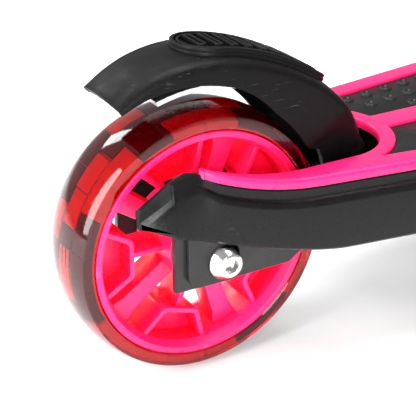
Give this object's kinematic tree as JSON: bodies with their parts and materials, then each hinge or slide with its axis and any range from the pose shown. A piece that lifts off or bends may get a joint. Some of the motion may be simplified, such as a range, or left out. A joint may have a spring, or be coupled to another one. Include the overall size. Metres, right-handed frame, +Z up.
{
  "type": "kick scooter",
  "caption": "Three-wheeled child's kick scooter with lean-to-steer front truck, foot brake over a clear-tyred rear wheel, two-colour deck and height-adjustable T-bar.",
  "frame": {"origin": "on the ground, under the middle of the scooter's bounding box", "axes": "+X forward (towards the steering column), +Y to the rider's left, +Z up"},
  "size_m": [0.54, 0.2742, 0.7885],
  "materials": {
    "tyre_red": "glossy clear red polyurethane",
    "pink_plastic": "satin moulded plastic, fluorescent pink",
    "black_plastic": "fine-grained moulded plastic",
    "black_rubber": "matt rubber",
    "black_steel": "satin black powder coat",
    "chrome": "polished chrome plate",
    "plain_steel": "zinc-plated steel",
    "pink_paint": "gloss pink powder coat",
    "bare_aluminium": "satin anodised",
    "light_module": "dark moulded module with copper contacts"
  },
  "bodies": {
    "deck": {"deck_shell": "black_plastic", "deck_frame": "pink_plastic", "grip_pad_left": "black_rubber", "grip_pad_right": "black_rubber", "belly_cover": "black_plastic", "belly_screw_1": "plain_steel", "belly_screw_2": "plain_steel", "belly_screw_3": "plain_steel", "belly_screw_4": "plain_steel", "chassis": "black_steel", "dropout_plate_left": "black_steel", "dropout_plate_right": "black_steel", "rear_spacer_left": "plain_steel", "rear_spacer_right": "plain_steel", "rear_bearing_spacer": "plain_steel", "rear_axle_bolt": "chrome", "rear_axle_nut": "chrome", "brake_pin": "plain_steel", "brake_spring": "plain_steel", "steering_head": "black_plastic", "head_bolt_1": "plain_steel", "head_bolt_2": "plain_steel", "lean_pin": "plain_steel", "lower_tube": "pink_paint", "clamp_collar": "black_plastic", "clamp_bolt": "plain_steel"},
    "rear_wheel": {"rear_tyre": "tyre_red", "rear_hub": "pink_plastic", "rear_bearing_left": "plain_steel", "rear_bearing_right": "plain_steel", "rear_light_module_1": "light_module", "rear_light_module_2": "light_module", "rear_light_module_3": "light_module"},
    "brake": {"brake_fender": "black_plastic", "brake_foot_pad": "black_rubber", "brake_wear_plate": "plain_steel"},
    "truck": {"truck_beam": "black_plastic", "kingpin_left": "plain_steel", "kingpin_right": "plain_steel", "lean_bumper_left": "black_rubber", "lean_bumper_right": "black_rubber"},
    "steering_left": {"knuckle_left": "black_steel", "front_axle_nut_left": "plain_steel"},
    "steering_right": {"knuckle_right": "black_steel", "front_axle_nut_right": "plain_steel"},
    "tie_rod": {"tie_rod": "plain_steel"},
    "front_wheel_left": {"front_tyre_left": "tyre_red", "front_hub_left": "pink_plastic", "front_bearing_outer_left": "plain_steel", "front_bearing_inner_left": "plain_steel"},
    "front_wheel_right": {"front_tyre_right": "tyre_red", "front_hub_right": "pink_plastic", "front_bearing_outer_right": "plain_steel", "front_bearing_inner_right": "plain_steel"},
    "clamp_lever": {"clamp_lever": "black_plastic"},
    "handlebar": {"upper_tube": "bare_aluminium", "tee_joint": "black_plastic", "handlebar_tube": "pink_paint", "grip_left": "black_rubber", "grip_right": "black_rubber"}
  },
  "joints": [
    {"name": "rear_wheel_spin", "type": "hinge", "parent": "deck", "child": "rear_wheel", "pos_m": [-0.22, 0, 0.05], "axis": [0, 1, 0], "continuous": true},
    {"name": "brake_press", "type": "hinge", "parent": "deck", "child": "brake", "pos_m": [-0.158, 0, 0.057], "axis": [0, -1, 0], "range_deg": [0, 6], "stiffness_Nm_per_rad": 0.6, "springref_deg": -22.92},
    {"name": "lean", "type": "hinge", "parent": "deck", "child": "truck", "pos_m": [0.21, 0, 0.072], "axis": [1, 0, 0], "range_deg": [-12, 12], "stiffness_Nm_per_rad": 60},
    {"name": "steer_left", "type": "hinge", "parent": "truck", "child": "steering_left", "pos_m": [0.21, 0.088, 0.06], "axis": [0, 0, 1], "range_deg": [-16, 16]},
    {"name": "steer_right", "type": "hinge", "parent": "truck", "child": "steering_right", "pos_m": [0.21, -0.088, 0.06], "axis": [0, 0, 1], "range_deg": [-16, 16]},
    {"name": "tie_rod_slide", "type": "slide", "parent": "truck", "child": "tie_rod", "axis": [0, 1, 0], "range_m": [-0.0062, 0.0062]},
    {"name": "front_wheel_spin_left", "type": "hinge", "parent": "steering_left", "child": "front_wheel_left", "pos_m": [0.21, 0.118, 0.06], "axis": [0, 1, 0], "continuous": true},
    {"name": "front_wheel_spin_right", "type": "hinge", "parent": "steering_right", "child": "front_wheel_right", "pos_m": [0.21, -0.118, 0.06], "axis": [0, 1, 0], "continuous": true},
    {"name": "clamp_lever_open", "type": "hinge", "parent": "deck", "child": "clamp_lever", "pos_m": [0.13501, 0, 0.4544], "axis": [0, 1, 0], "range_deg": [0, 100]},
    {"name": "bar_height", "type": "slide", "parent": "deck", "child": "handlebar", "axis": [-0.1392, 0, 0.9903], "range_m": [-0.15, 0.08]}
  ],
  "couplings": [
    {"joint": "steer_left", "follows": "lean", "ratio": 1.3},
    {"joint": "steer_right", "follows": "lean", "ratio": 1.3},
    {"joint": "tie_rod_slide", "follows": "lean", "m_per_rad": -0.0286}
  ]
}
